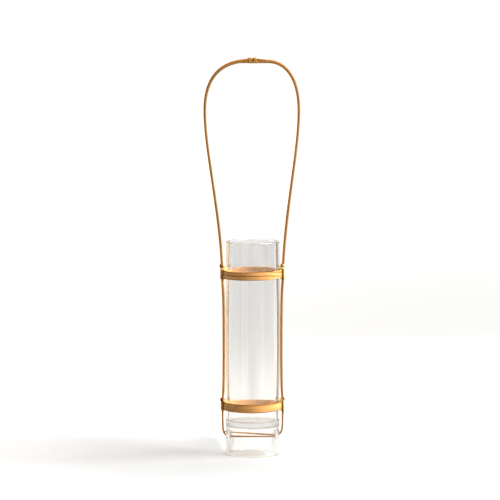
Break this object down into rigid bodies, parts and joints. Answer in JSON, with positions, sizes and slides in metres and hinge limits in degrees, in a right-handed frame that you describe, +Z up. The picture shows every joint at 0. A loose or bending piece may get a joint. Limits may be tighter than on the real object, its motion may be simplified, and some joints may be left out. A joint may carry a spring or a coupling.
{
  "type": "hanging glass vase",
  "caption": "Straight glass tube vase on an open glass foot, carried in a lashed split bamboo harness whose staves arch into a handle, to hang on a hook or stand on a shelf.",
  "frame": {"origin": "middle of the glass foot, on the surface that the vase stands on", "axes": "+Z up along the tube, +X towards the right stave, -Y towards the viewer in front"},
  "size_m": [0.0889, 0.0537, 0.3668],
  "materials": {
    "glass": "clear, polished, faintly streaked along the tube",
    "stave_bamboo": "split bamboo, satin outside, fibrous sides",
    "hoop_bamboo": "split bamboo strip, satin, fine grain along its length",
    "strand_bamboo": "thin split strand, satin, dark cut ends"
  },
  "bodies": {
    "vase": {"glass_vase": "glass"},
    "harness": {"left_stave": "stave_bamboo", "right_stave": "stave_bamboo", "upper_hoop": "hoop_bamboo", "lower_hoop": "hoop_bamboo", "upper_left_lashing": "strand_bamboo", "upper_right_lashing": "strand_bamboo", "lower_left_lashing": "strand_bamboo", "lower_right_lashing": "strand_bamboo", "crown_binding": "strand_bamboo"}
  },
  "joints": [
    {"name": "harness_slack", "type": "slide", "parent": "vase", "child": "harness", "axis": [0, 0, 1], "range_m": [-0.0015, 0.0008]}
  ]
}
